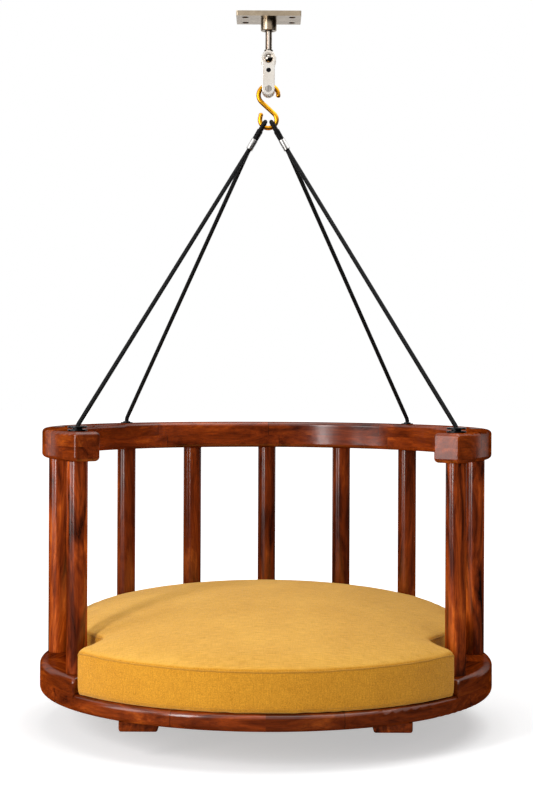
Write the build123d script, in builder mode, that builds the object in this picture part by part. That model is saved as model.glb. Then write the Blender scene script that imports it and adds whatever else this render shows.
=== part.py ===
from build123d import *
import os
from math import asin, cos, degrees, radians, sin, sqrt, tan

# Jhoola swing: a round hardwood seat with a curved back of turned posts. Two doubled
# ropes hang it from a brass S-hook, a two-plate shackle and a ball-bearing swivel.
# Frame: origin at the centre of the ceiling plate's top face, +Z up, -Y towards the
# open front of the seat. Millimetres.

# ---------------------------------------------------------------- driving dimensions
# Ceiling unit
plate_length = 152
plate_width = 100
plate_thickness = 12
plate_corner = 3
plate_screw_spacing_x = 110
plate_screw_spacing_y = 60
plate_screw_radius = 4.25
plate_sink_radius = 8
collar_flange_radius = 26
collar_flange_thickness = 3
collar_spigot_radius = 23
collar_radius = 18.75
collar_drop = 26
collar_floor = 8
collar_bore_radius = 10
collar_edge = 1.2

# Thrust bearing
race_radius = 15
race_thickness = 2.6
thrust_pitch_radius = 12
thrust_ball_radius = 2.4
thrust_ball_count = 10
thrust_height = 9
rod_head_radius = 13
rod_head_height = 8

# Swivel rod and pivot barrel
rod_radius = 8
rod_spigot_radius = 6
rod_spigot_length = 13
pivot_depth = 106
barrel_radius = 16
barrel_length = 30
barrel_boss_radius = 10.5
barrel_boss_height = 24
barrel_bore_radius = 9
bearing_outer_radius = 13
bearing_lip_radius = 7.9
bearing_inner_radius = 7.6
bearing_width = 8
bearing_lip_thickness = 0.9
bearing_race_radius = 10.8

# Shackle
cheek_gap = 36
cheek_thickness = 6
cheek_top_radius = 17.8
cheek_waist = 29.4
cheek_bottom_radius = 14.7
cheek_neck_radius = 12
cheek_edge = 1
pivot_bolt_radius = 5
dome_radius = 11
dome_height = 7.5
dome_recess_radius = 13
dome_recess_depth = 2
spacer_drop = 28
spacer_radius = 6.5
spacer_screw_radius = 3
spacer_screw_head_radius = 5.5
spacer_screw_head_height = 3
spacer_screw_socket = 5
spacer_screw_socket_depth = 2.1
hook_pin_drop = 72
hook_pin_radius = 6
hook_pin_head_radius = 8
hook_pin_head_height = 2.5
hook_pin_tail = 4
clip_thickness = 1.2
clip_radius = 8.5
clip_groove_depth = 1
bush_radius = 8.5

# S-hook
hook_wire_radius = 5.4
hook_upper_radius = 23.2
hook_lower_radius = 19.6
hook_spacing = 58
hook_upper_tip_angle = -14
hook_lower_tip_angle = 168
hook_lower_tip_length = 12.5
hook_tip_round = 4.6
hook_groove_inset = 9
hook_groove_width = 2
hook_groove_depth = 0.7

# Ropes and ferrules
rope_radius = 5
rope_saddle_angle = 40.6
rope_pull_angle = 30
rope_bight_below = 10
rope_closing_length = 23
rope_exit_below = 7
rope_corner_radius = 30
rope_spread_radius = 15
rope_bight_flat = 0.1
rope_bend_radius = 18
rope_bend_above = 7
sleeve_radius = 6.6
sleeve_head_gap = 3
sleeve_foot_gap = 0.8
ferrule_below = 51
ferrule_length = 26
ferrule_diameter = 15.4
ferrule_edge = 0.8
knot_radius = 11
knot_height = 14
knot_round = 5
knot_tail = 2
knot_recess_radius = 14
knot_recess_depth = 20
knot_washer_thickness = 2
knot_washer_radius = 12.5

# Seat frame
seat_drop = 1576.5
seat_shift = -29.7
post_circle = 490
base_overhang = 3
ring_width = 120
ring_thickness = 36.5
rim_width = 67
rim_thickness = 36.5
base_round = 13
base_edge = 5
lip_round = 11
rail_width = 64
rail_layer = 32.5
rail_round = 9
rail_end_round = 5
opening_angle = 104.5
post_radius = 23
post_length = 464
post_edge = 1.5
tenon_radius = 15
tenon_into_ring = 8
tenon_into_upper_rail = 8
back_post_angle = 23.4
side_post_angle = 88
front_post_angle = 122.3

# Rope washers on the rail, and capped screws above the side posts
front_washer_radius = 21.5
front_neck_radius = 11
front_flange_thickness = 4
front_neck_height = 3.5
front_mouth_radius = 7.2
rear_washer_radius = 15
washer_thickness = 2.5
washer_collar_thickness = 2.5
washer_collar_width = 6
cap_radius = 13.5
cap_thickness = 2.5
cap_proud = 0.8
rail_screw_head_radius = 7
rail_screw_head_height = 5
rail_screw_radius = 3.5
rail_screw_length = 60

# Seat panel, battens and their screws
panel_lap = 25
panel_thickness = 12
panel_screw_count = 8
panel_screw_inset = 12
batten_width = 82
batten_thickness = 22
batten_centre = 267
batten_end_inset = 3
batten_end_round = 9
batten_edge = 5
batten_screw_spacing = 44
wood_screw_head_radius = 4.5
wood_screw_radius = 2
screw_sink_angle = 90
panel_screw_length = 28
batten_screw_length = 39

# Cushion
cushion_rim_gap = 3
cushion_front_overhang = 2
cushion_ear_round = 9
cushion_notch_round = 12
cushion_height = 180
cushion_dome_radius = 2030
cushion_dome_setback = 70
cushion_top_round = 9
cushion_bottom_round = 7

# Clearances
running_fit = 0.08
seat_gap = 0.1
free_gap = 0.3
hook_gap = 0.3
rope_gap = 0.5
rope_hook_gap = 1.1
cushion_side_gap = 2.5

# ---------------------------------------------------------------- levels and places
collar_bottom = -plate_thickness - collar_drop
race_seat = collar_bottom + collar_floor
thrust_top = race_seat + thrust_height
ball_level = race_seat + thrust_height / 2
pivot_level = -pivot_depth
spacer_level = pivot_level - spacer_drop
hook_pin_level = pivot_level - hook_pin_drop
barrel_half = barrel_length / 2
cheek_inner = cheek_gap / 2
cheek_outer = cheek_inner + cheek_thickness
hook_upper_level = hook_pin_level + hook_pin_radius + hook_gap + hook_wire_radius - hook_upper_radius
hook_lower_level = hook_upper_level - hook_spacing

base_level = -seat_drop
ring_top = base_level + ring_thickness
rim_top = ring_top + rim_thickness
rail_bottom = rim_top + post_length
rail_middle = rail_bottom + rail_layer
rail_top = rail_middle + rail_layer
panel_bottom = ring_top - panel_thickness
rail_radius = post_circle + rail_width / 2
base_radius = rail_radius + base_overhang
panel_radius = base_radius - ring_width + panel_lap
panel_screw_circle = panel_radius - panel_screw_inset
cushion_body_radius = base_radius - rim_width - cushion_rim_gap
cushion_front_radius = base_radius + cushion_front_overhang
seat_centre = (0, seat_shift)
outer_post_angle = 2 * back_post_angle
rope_bore_radius = rope_radius + rope_gap
socket_radius = tenon_radius + seat_gap
# Post angles run from the back of the seat, positive towards +X.
c_start = opening_angle / 2 - 90
c_sweep = 360 - opening_angle

os.makedirs("parts", exist_ok=True)


def seat_place(angle, radius=post_circle):
    """XY of a place on the seat, by its angle from the back."""
    return (radius * sin(radians(angle)), seat_shift + radius * cos(radians(angle)))


rope_post_angles = {
    "front_left": -front_post_angle,
    "front_right": front_post_angle,
    "back_outer_left": -outer_post_angle,
    "back_outer_right": outer_post_angle,
}
plain_post_angles = {
    "side_left": -side_post_angle,
    "back_inner_left": -back_post_angle,
    "back_centre": 0,
    "back_inner_right": back_post_angle,
    "side_right": side_post_angle,
}
rope_places = [seat_place(angle) for angle in rope_post_angles.values()]
post_places = rope_places + [seat_place(angle) for angle in plain_post_angles.values()]
side_places = [seat_place(-side_post_angle), seat_place(side_post_angle)]

# ---------------------------------------------------------------- ceiling unit
with BuildPart() as ceiling_plate:
    with BuildSketch(Plane.XY.offset(-plate_thickness)):
        RectangleRounded(plate_length, plate_width, plate_corner)
    extrude(amount=plate_thickness)
    with BuildSketch(Plane.XY.offset(-plate_thickness)):
        Circle(collar_spigot_radius + seat_gap)
    extrude(amount=plate_thickness, mode=Mode.SUBTRACT)
    with BuildSketch(Plane.XY.offset(-collar_flange_thickness)):
        Circle(collar_flange_radius + seat_gap)
    extrude(amount=collar_flange_thickness, mode=Mode.SUBTRACT)
    with Locations(Plane((0, 0, -plate_thickness), z_dir=(0, 0, -1))):
        with GridLocations(plate_screw_spacing_x, plate_screw_spacing_y, 2, 2):
            CounterSinkHole(plate_screw_radius, plate_sink_radius, counter_sink_angle=screw_sink_angle)
ceiling_plate.part.label = "ceiling_plate"
export_step(ceiling_plate.part, "parts/ceiling_plate.step")

with BuildPart() as bearing_collar:
    with BuildSketch(Plane.XZ):
        with BuildLine():
            Polyline(
                (race_radius + seat_gap, 0),
                (collar_flange_radius, 0),
                (collar_flange_radius, -collar_flange_thickness),
                (collar_spigot_radius, -collar_flange_thickness),
                (collar_spigot_radius, -plate_thickness),
                (collar_radius, -plate_thickness),
                (collar_radius, collar_bottom),
                (collar_bore_radius, collar_bottom),
                (collar_bore_radius, race_seat),
                (race_radius + seat_gap, race_seat),
                close=True,
            )
        make_face()
    revolve(axis=Axis.Z)
    chamfer(bearing_collar.edges().group_by(Axis.Z)[0], length=collar_edge)
bearing_collar.part.label = "bearing_collar"
export_step(bearing_collar.part, "parts/bearing_collar.step")

groove_radius = thrust_ball_radius + running_fit

with BuildPart() as thrust_race_lower:
    with BuildSketch(Plane.XY.offset(race_seat)):
        Circle(race_radius)
        Circle(collar_bore_radius, mode=Mode.SUBTRACT)
    extrude(amount=race_thickness)
    with BuildSketch(Plane.XZ):
        with Locations((thrust_pitch_radius, ball_level)):
            Circle(groove_radius)
    revolve(axis=Axis.Z, mode=Mode.SUBTRACT)
thrust_race_lower.part.label = "thrust_race_lower"
export_step(thrust_race_lower.part, "parts/thrust_race_lower.step")

with BuildPart() as thrust_balls:
    with Locations((0, 0, ball_level)):
        with PolarLocations(thrust_pitch_radius, thrust_ball_count):
            Sphere(thrust_ball_radius)
thrust_balls.part.label = "thrust_balls"
export_step(thrust_balls.part, "parts/thrust_balls.step")

with BuildPart() as thrust_race_upper:
    with BuildSketch(Plane.XY.offset(thrust_top)):
        Circle(race_radius - free_gap)
        Circle(rod_radius, mode=Mode.SUBTRACT)
    extrude(amount=-race_thickness)
    with BuildSketch(Plane.XZ):
        with Locations((thrust_pitch_radius, ball_level)):
            Circle(groove_radius)
    revolve(axis=Axis.Z, mode=Mode.SUBTRACT)
thrust_race_upper.part.label = "thrust_race_upper"
export_step(thrust_race_upper.part, "parts/thrust_race_upper.step")

# ---------------------------------------------------------------- swivel
boss_top = pivot_level + barrel_boss_height

with BuildPart() as swivel_rod:
    with BuildSketch(Plane.XY.offset(boss_top)):
        Circle(rod_radius)
    extrude(amount=thrust_top - boss_top)
    with BuildSketch(Plane.XY.offset(thrust_top)):
        Circle(rod_head_radius)
    extrude(amount=rod_head_height)
    chamfer(swivel_rod.edges().group_by(Axis.Z)[-1], length=collar_edge)
    with BuildSketch(Plane.XY.offset(boss_top)):
        Circle(rod_spigot_radius)
    extrude(amount=-rod_spigot_length)
swivel_rod.part.label = "swivel_rod"
export_step(swivel_rod.part, "parts/swivel_rod.step")

with BuildPart() as pivot_barrel:
    with BuildSketch(Plane.XZ.offset(-barrel_half)):
        with Locations((0, pivot_level)):
            Circle(barrel_radius)
    extrude(amount=barrel_length)
    with BuildSketch(Plane.XY.offset(pivot_level)):
        Circle(barrel_boss_radius)
    extrude(amount=barrel_boss_height)
    with BuildSketch(Plane.XZ.offset(-barrel_half)):
        with Locations((0, pivot_level)):
            Circle(barrel_bore_radius)
    extrude(amount=barrel_length, mode=Mode.SUBTRACT)
    for face_side in (1, -1):
        with BuildSketch(Plane.XZ.offset(face_side * barrel_half)):
            with Locations((0, pivot_level)):
                Circle(bearing_outer_radius)
        extrude(amount=-face_side * bearing_width, mode=Mode.SUBTRACT)
    with BuildSketch(Plane.XY.offset(boss_top)):
        Circle(rod_spigot_radius)
    extrude(amount=-rod_spigot_length, mode=Mode.SUBTRACT)
    chamfer(pivot_barrel.edges().group_by(Axis.Z)[-1], length=collar_edge)
pivot_barrel.part.label = "pivot_barrel"
export_step(pivot_barrel.part, "parts/pivot_barrel.step")

lip_inset = barrel_half - bearing_lip_thickness
bearing_back = barrel_half - bearing_width

with BuildPart() as bearing_outer_rings:
    for ring_side in (1, -1):
        with BuildSketch(Plane.XZ.offset(ring_side * bearing_back)):
            with Locations((0, pivot_level)):
                Circle(bearing_outer_radius)
                Circle(bearing_race_radius, mode=Mode.SUBTRACT)
        extrude(amount=ring_side * bearing_width)
        with BuildSketch(Plane.XZ.offset(ring_side * lip_inset)):
            with Locations((0, pivot_level)):
                Circle(bearing_race_radius)
                Circle(bearing_lip_radius, mode=Mode.SUBTRACT)
        extrude(amount=ring_side * bearing_lip_thickness)
bearing_outer_rings.part.label = "bearing_outer_rings"
export_step(bearing_outer_rings.part, "parts/bearing_outer_rings.step")

# ---------------------------------------------------------------- shackle
with BuildPart() as bearing_inner_rings:
    for ring_side in (1, -1):
        with BuildSketch(Plane.XZ.offset(ring_side * bearing_back)):
            with Locations((0, pivot_level)):
                Circle(bearing_inner_radius)
                Circle(pivot_bolt_radius, mode=Mode.SUBTRACT)
        extrude(amount=ring_side * bearing_width)
bearing_inner_rings.part.label = "bearing_inner_rings"
export_step(bearing_inner_rings.part, "parts/bearing_inner_rings.step")

with BuildPart() as pivot_washers:
    for washer_side in (1, -1):
        with BuildSketch(Plane.XZ.offset(washer_side * barrel_half)):
            with Locations((0, pivot_level)):
                Circle(bearing_inner_radius)
                Circle(pivot_bolt_radius, mode=Mode.SUBTRACT)
        extrude(amount=washer_side * (cheek_inner - barrel_half))
pivot_washers.part.label = "pivot_washers"
export_step(pivot_washers.part, "parts/pivot_washers.step")


def outer_plane(side, depth=0):
    """Plane on a cheek's outer face, front for side 1 and rear for side -1."""
    return Plane.XZ.offset(side * (cheek_outer - depth))


for cheek_name, side in (("cheek_front", 1), ("cheek_rear", -1)):
    with BuildPart() as cheek:
        with BuildSketch(Plane.XZ.offset(side * cheek_inner)) as cheek_outline:
            with Locations((0, pivot_level)):
                Circle(cheek_top_radius)
            with Locations((0, hook_pin_level)):
                Circle(cheek_bottom_radius)
            with Locations((0, (pivot_level + hook_pin_level) / 2)):
                Rectangle(cheek_waist, hook_pin_drop)
            shoulders = cheek_outline.vertices().group_by(Axis.Y)[-1]
            fillet(shoulders, radius=cheek_neck_radius)
        extrude(amount=side * cheek_thickness)
        rim_edges = cheek.faces().sort_by(Axis.Y)[0 if side > 0 else -1].outer_wire().edges()
        fillet(rim_edges, radius=cheek_edge)
        with BuildSketch(Plane.XZ.offset(side * cheek_inner)):
            with Locations((0, pivot_level)):
                Circle(pivot_bolt_radius)
            with Locations((0, spacer_level)):
                Circle(spacer_screw_radius)
            with Locations((0, hook_pin_level)):
                Circle(hook_pin_radius)
        extrude(amount=side * cheek_thickness, mode=Mode.SUBTRACT)
        with BuildSketch(outer_plane(side, dome_recess_depth)):
            with Locations((0, pivot_level)):
                Circle(dome_recess_radius)
        extrude(amount=side * dome_recess_depth, mode=Mode.SUBTRACT)
        if side > 0:
            with BuildSketch(outer_plane(side, spacer_screw_head_height)):
                with Locations((0, spacer_level)):
                    Circle(spacer_screw_head_radius)
            extrude(amount=spacer_screw_head_height, mode=Mode.SUBTRACT)
            with BuildSketch(outer_plane(side, hook_pin_head_height)):
                with Locations((0, hook_pin_level)):
                    Circle(hook_pin_head_radius)
            extrude(amount=hook_pin_head_height, mode=Mode.SUBTRACT)
    cheek.part.label = cheek_name
    export_step(cheek.part, f"parts/{cheek_name}.step")

dome_seat = cheek_outer - dome_recess_depth
dome_sphere = (dome_radius**2 + dome_height**2) / (2 * dome_height)
dome_angle = degrees(asin(dome_radius / dome_sphere))
pivot_axis = Axis((0, 0, pivot_level), (0, 1, 0))

with BuildPart() as pivot_bolt:
    with BuildSketch(Plane.XZ.offset(dome_seat)):
        with Locations((0, pivot_level)):
            Circle(pivot_bolt_radius)
    extrude(amount=-2 * dome_seat)
    with BuildSketch(Plane.XY.offset(pivot_level)):
        with BuildLine():
            crown = CenterArc((0, dome_sphere - dome_seat - dome_height), dome_sphere, -90, dome_angle)
            Polyline(crown @ 1, (0, -dome_seat), crown @ 0)
        make_face()
    revolve(axis=pivot_axis)
pivot_bolt.part.label = "pivot_bolt"
export_step(pivot_bolt.part, "parts/pivot_bolt.step")

with BuildPart() as pivot_nut:
    with BuildSketch(Plane.XY.offset(pivot_level)):
        with BuildLine():
            crown = CenterArc((0, dome_seat + dome_height - dome_sphere), dome_sphere, 90, -dome_angle)
            Polyline(crown @ 1, (0, dome_seat), crown @ 0)
        make_face()
    revolve(axis=pivot_axis)
pivot_nut.part.label = "pivot_nut"
export_step(pivot_nut.part, "parts/pivot_nut.step")

with BuildPart() as cheek_spacer:
    with BuildSketch(Plane.XZ.offset(-cheek_inner)):
        with Locations((0, spacer_level)):
            Circle(spacer_radius)
            Circle(spacer_screw_radius, mode=Mode.SUBTRACT)
    extrude(amount=cheek_gap)
cheek_spacer.part.label = "cheek_spacer"
export_step(cheek_spacer.part, "parts/cheek_spacer.step")

with BuildPart() as spacer_screw:
    with BuildSketch(outer_plane(-1)):
        with Locations((0, spacer_level)):
            Circle(spacer_screw_radius)
    extrude(amount=2 * cheek_outer - spacer_screw_head_height)
    with BuildSketch(outer_plane(1, spacer_screw_head_height)):
        with Locations((0, spacer_level)):
            Circle(spacer_screw_head_radius)
    extrude(amount=spacer_screw_head_height)
    with BuildSketch(outer_plane(1)):
        with Locations((0, spacer_level)):
            RegularPolygon(spacer_screw_socket / 2, 6, major_radius=False)
    extrude(amount=-spacer_screw_socket_depth, mode=Mode.SUBTRACT)
spacer_screw.part.label = "spacer_screw"
export_step(spacer_screw.part, "parts/spacer_screw.step")

clip_start = cheek_outer + free_gap

with BuildPart() as hook_pin:
    with BuildSketch(outer_plane(1)):
        with Locations((0, hook_pin_level)):
            Circle(hook_pin_head_radius)
    extrude(amount=-hook_pin_head_height)
    with BuildSketch(outer_plane(1)):
        with Locations((0, hook_pin_level)):
            Circle(hook_pin_radius)
    extrude(amount=-2 * cheek_outer - hook_pin_tail)
    chamfer(hook_pin.edges().sort_by(Axis.Y)[-1], length=cheek_edge)
    with BuildSketch(Plane.XZ.offset(-clip_start)):
        with Locations((0, hook_pin_level)):
            Circle(hook_pin_radius + cheek_edge)
            Circle(hook_pin_radius - clip_groove_depth, mode=Mode.SUBTRACT)
    extrude(amount=-clip_thickness, mode=Mode.SUBTRACT)
hook_pin.part.label = "hook_pin"
export_step(hook_pin.part, "parts/hook_pin.step")

with BuildPart() as hook_pin_clip:
    with BuildSketch(Plane.XZ.offset(-clip_start)):
        with Locations((0, hook_pin_level)):
            Circle(clip_radius)
            Circle(hook_pin_radius - clip_groove_depth, mode=Mode.SUBTRACT)
        with Locations((0, hook_pin_level - clip_radius)):
            Rectangle(hook_pin_radius, 2 * (clip_radius - hook_pin_radius), mode=Mode.SUBTRACT)
    extrude(amount=-clip_thickness)
hook_pin_clip.part.label = "hook_pin_clip"
export_step(hook_pin_clip.part, "parts/hook_pin_clip.step")

with BuildPart() as hook_pin_bushes:
    for bush_side in (1, -1):
        with BuildSketch(Plane.XZ.offset(bush_side * cheek_inner)):
            with Locations((0, hook_pin_level)):
                Circle(bush_radius)
                Circle(hook_pin_radius, mode=Mode.SUBTRACT)
        extrude(amount=bush_side * (hook_wire_radius + hook_gap - cheek_inner))
hook_pin_bushes.part.label = "hook_pin_bushes"
export_step(hook_pin_bushes.part, "parts/hook_pin_bushes.step")

# ---------------------------------------------------------------- S-hook
hook_cross_angle = degrees(asin((hook_upper_radius + hook_lower_radius) / hook_spacing))
upper_sweep = 180 + hook_cross_angle - hook_upper_tip_angle
lower_sweep = hook_lower_tip_angle - 360 - hook_cross_angle

with BuildPart() as s_hook:
    with BuildLine(Plane.XZ) as hook_line:
        upper_bend = CenterArc((0, hook_upper_level), hook_upper_radius, hook_upper_tip_angle, upper_sweep)
        lower_bend = CenterArc((0, hook_lower_level), hook_lower_radius, hook_cross_angle, lower_sweep)
        Line(upper_bend @ 1, lower_bend @ 0)
        lower_tip = lower_bend @ 1 + (lower_bend % 1) * hook_lower_tip_length
        Line(lower_bend @ 1, lower_tip)
    with BuildSketch(Plane(hook_line.line @ 0, z_dir=hook_line.line % 0)):
        Circle(hook_wire_radius)
    sweep()
    hook_ends = s_hook.faces().filter_by(GeomType.PLANE)
    fillet(hook_ends.edges(), radius=hook_tip_round)
    hook_length = sum(edge.length for edge in hook_line.edges())
    for groove_at in (hook_groove_inset / hook_length, 1 - hook_groove_inset / hook_length):
        groove_plane = Plane(hook_line.line @ groove_at, z_dir=hook_line.line % groove_at)
        with BuildSketch(groove_plane.offset(-hook_groove_width / 2)):
            Circle(hook_wire_radius + free_gap)
            Circle(hook_wire_radius - hook_groove_depth, mode=Mode.SUBTRACT)
        extrude(amount=hook_groove_width, mode=Mode.SUBTRACT)
s_hook.part.label = "s_hook"
export_step(s_hook.part, "parts/s_hook.step")

# ---------------------------------------------------------------- ropes
saddle_offset = hook_lower_radius * sin(radians(rope_saddle_angle))
saddle_level = hook_lower_level - hook_lower_radius * cos(radians(rope_saddle_angle))
bight_radius = hook_wire_radius + rope_hook_gap + rope_radius
rope_half_pair = rope_radius + rope_gap / 2
ferrule_top = ferrule_below - ferrule_length / 2
ferrule_bottom = ferrule_below + ferrule_length / 2
washer_top = rail_top + washer_thickness + washer_collar_thickness
knot_top = base_level + knot_recess_depth - knot_washer_thickness
rope_end = knot_top - knot_height - knot_tail
bight_corner = bight_radius - rope_bight_flat
closing_below = rope_bight_below + rope_closing_length
sleeve_straight = ferrule_top - sleeve_foot_gap - closing_below


def pull_direction(side):
    """Unit vector of a rope's pull below the hook, left for side -1."""
    return Vector(side * sin(radians(rope_pull_angle)), 0, -cos(radians(rope_pull_angle)))


def saddle(side):
    """Centre of the hook's wire where a rope crosses it."""
    return Vector(side * saddle_offset, 0, saddle_level)


def rope_leg(side, post_xy, facing):
    """Corner points of one rope leg, from its knot under the base up to the bight."""
    pull = pull_direction(side)
    wide = Vector(0, facing * bight_radius, 0)
    narrow = Vector(0, facing * rope_half_pair, 0)
    return [
        Vector(*post_xy, rope_end),
        Vector(*post_xy, washer_top + rope_bend_above),
        saddle(side) + pull * (ferrule_bottom + rope_exit_below) + narrow,
        saddle(side) + pull * closing_below + narrow,
        saddle(side) + pull * rope_bight_below + wide,
        saddle(side) - pull * bight_radius + wide,
    ]


leg_radii = [rope_bend_radius, rope_corner_radius, rope_corner_radius, rope_spread_radius, bight_corner]

for side_name, side in (("left", -1), ("right", 1)):
    front_leg = rope_leg(side, seat_place(side * front_post_angle), -1)
    rear_leg = rope_leg(side, seat_place(side * outer_post_angle), 1)
    with BuildPart() as rope:
        with BuildLine() as rope_line:
            FilletPolyline(*front_leg, *reversed(rear_leg), radius=leg_radii + leg_radii[::-1])
        with BuildSketch(Plane(rope_line.line @ 0, z_dir=(0, 0, 1))):
            Circle(rope_radius)
        sweep()
        for foot in (front_leg[0], rear_leg[0]):
            with BuildSketch(Plane((foot.X, foot.Y, knot_top), z_dir=(0, 0, -1))):
                Circle(knot_radius)
            knot_solid = extrude(amount=knot_height)
            fillet(knot_solid.edges().filter_by(GeomType.CIRCLE), radius=knot_round)
        # A sleeve thickens both strands between the hook and the ferrule.
        for leg in (front_leg, rear_leg):
            closing, spread = leg[3], leg[4]
            sleeve_head = spread + (closing - spread).normalized() * sleeve_head_gap
            sleeve_foot = closing + pull_direction(side) * sleeve_straight
            with BuildLine() as sleeve_line:
                FilletPolyline(sleeve_foot, closing, sleeve_head, radius=rope_corner_radius)
            with BuildSketch(Plane(sleeve_line.line @ 0, z_dir=sleeve_line.line % 0)):
                Circle(sleeve_radius)
            sweep(path=sleeve_line.line)
    rope.part.label = f"rope_{side_name}"
    export_step(rope.part, f"parts/rope_{side_name}.step")
    rope_length = sum(edge.length for edge in rope_line.edges())
    print(f"rope_{side_name} length {rope_length:.0f}, leg radii {leg_radii}")

    with BuildPart() as ferrule:
        mouth = saddle(side) + pull_direction(side) * ferrule_top
        with BuildSketch(Plane(mouth, x_dir=(0, 1, 0), z_dir=pull_direction(side))):
            SlotCenterToCenter(2 * rope_half_pair, ferrule_diameter)
        extrude(amount=ferrule_length)
        fillet(ferrule.edges(), radius=ferrule_edge)
        with BuildSketch(Plane(mouth, x_dir=(0, 1, 0), z_dir=pull_direction(side))):
            SlotCenterToCenter(2 * rope_half_pair, 2 * rope_radius + rope_gap)
        extrude(amount=ferrule_length, mode=Mode.SUBTRACT)
    ferrule.part.label = f"ferrule_{side_name}"
    export_step(ferrule.part, f"parts/ferrule_{side_name}.step")

# ---------------------------------------------------------------- rope hardware
front_places = [seat_place(-front_post_angle), seat_place(front_post_angle)]
rear_places = [seat_place(-outer_post_angle), seat_place(outer_post_angle)]
front_spool = [
    (front_washer_radius, front_flange_thickness),
    (front_neck_radius, front_neck_height),
    (front_washer_radius, front_flange_thickness),
]
rear_disc = [
    (rear_washer_radius, washer_thickness),
    (rear_washer_radius - washer_collar_width, washer_collar_thickness),
]

for pair_name, places, layers in (("front", front_places, front_spool), ("rear", rear_places, rear_disc)):
    level = rail_top
    with BuildPart() as rope_washers:
        for layer_radius, layer_thickness in layers:
            with BuildSketch(Plane.XY.offset(level)):
                with Locations(places):
                    Circle(layer_radius)
            extrude(amount=layer_thickness)
            level += layer_thickness
        fillet(rope_washers.edges().group_by(Axis.Z)[-1], radius=washer_collar_thickness / 2)
        with BuildSketch(Plane.XY.offset(rail_top)):
            with Locations(places):
                Circle(rope_bore_radius)
        extrude(amount=level - rail_top, mode=Mode.SUBTRACT)
        if pair_name == "front":
            with BuildSketch(Plane.XY.offset(rail_top + front_flange_thickness)):
                with Locations(places):
                    Circle(front_mouth_radius)
            extrude(amount=level - rail_top, mode=Mode.SUBTRACT)
    rope_washers.part.label = f"rope_washers_{pair_name}"
    export_step(rope_washers.part, f"parts/rope_washers_{pair_name}.step")

with BuildPart() as knot_washers:
    with BuildSketch(Plane.XY.offset(knot_top)):
        with Locations(rope_places):
            Circle(knot_washer_radius)
        with Locations(rope_places):
            Circle(rope_bore_radius, mode=Mode.SUBTRACT)
    extrude(amount=knot_washer_thickness)
knot_washers.part.label = "knot_washers"
export_step(knot_washers.part, "parts/knot_washers.step")

# ---------------------------------------------------------------- top rail


def c_outline(outer_radius, inner_radius, end_round):
    """C-shaped plan of the rail or the rim, open at the front with rounded ends."""
    with BuildSketch() as outline:
        with BuildLine():
            outer_arc = CenterArc(seat_centre, outer_radius, c_start, c_sweep)
            inner_arc = CenterArc(seat_centre, inner_radius, c_start, c_sweep)
            Line(outer_arc @ 0, inner_arc @ 0)
            Line(outer_arc @ 1, inner_arc @ 1)
        make_face()
        fillet(outline.vertices(), radius=end_round)
    return outline.sketch


rail_plan = c_outline(rail_radius, rail_radius - rail_width, rail_end_round)

with BuildPart() as rail_lower:
    with BuildSketch(Plane.XY.offset(rail_bottom)):
        add(rail_plan)
    extrude(amount=rail_layer)
    fillet(rail_lower.edges().group_by(Axis.Z)[0], radius=rail_round)
    with BuildSketch(Plane.XY.offset(rail_bottom)):
        with Locations(post_places):
            Circle(socket_radius)
    extrude(amount=rail_layer, mode=Mode.SUBTRACT)
rail_lower.part.label = "rail_lower"
export_step(rail_lower.part, "parts/rail_lower.step")

with BuildPart() as rail_upper:
    with BuildSketch(Plane.XY.offset(rail_middle)):
        add(rail_plan)
    extrude(amount=rail_layer)
    fillet(rail_upper.edges().group_by(Axis.Z)[-1], radius=rail_round)
    with BuildSketch(Plane.XY.offset(rail_middle)):
        with Locations(post_places):
            Circle(socket_radius)
    extrude(amount=tenon_into_upper_rail, mode=Mode.SUBTRACT)
    with BuildSketch(Plane.XY.offset(rail_middle)):
        with Locations(rope_places):
            Circle(rope_bore_radius)
        with Locations(side_places):
            Circle(rail_screw_radius)
    extrude(amount=rail_layer, mode=Mode.SUBTRACT)
    with BuildSketch(Plane.XY.offset(rail_top)):
        with Locations(side_places):
            Circle(cap_radius)
    extrude(amount=cap_proud - cap_thickness, mode=Mode.SUBTRACT)
    with BuildSketch(Plane.XY.offset(rail_top + cap_proud - cap_thickness)):
        with Locations(side_places):
            Circle(rail_screw_head_radius)
    extrude(amount=-rail_screw_head_height, mode=Mode.SUBTRACT)
rail_upper.part.label = "rail_upper"
export_step(rail_upper.part, "parts/rail_upper.step")

cap_bottom = rail_top + cap_proud - cap_thickness
rail_screw_seat = cap_bottom - rail_screw_head_height

with BuildPart() as screw_caps:
    with BuildSketch(Plane.XY.offset(cap_bottom)):
        with Locations(side_places):
            Circle(cap_radius)
    extrude(amount=cap_thickness)
    fillet(screw_caps.edges().group_by(Axis.Z)[-1], radius=cap_proud / 2)
screw_caps.part.label = "screw_caps"
export_step(screw_caps.part, "parts/screw_caps.step")

with BuildPart() as rail_screws:
    with BuildSketch(Plane.XY.offset(cap_bottom)):
        with Locations(side_places):
            Circle(rail_screw_head_radius)
    extrude(amount=-rail_screw_head_height)
    with BuildSketch(Plane.XY.offset(rail_screw_seat)):
        with Locations(side_places):
            Circle(rail_screw_radius)
    extrude(amount=-rail_screw_length)
rail_screws.part.label = "rail_screws"
export_step(rail_screws.part, "parts/rail_screws.step")

# ---------------------------------------------------------------- posts
tenon_down = rim_thickness + tenon_into_ring
tenon_up = rail_layer + tenon_into_upper_rail
screw_pilot_depth = rail_screw_length - (rail_screw_seat - rail_middle - tenon_into_upper_rail)


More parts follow.
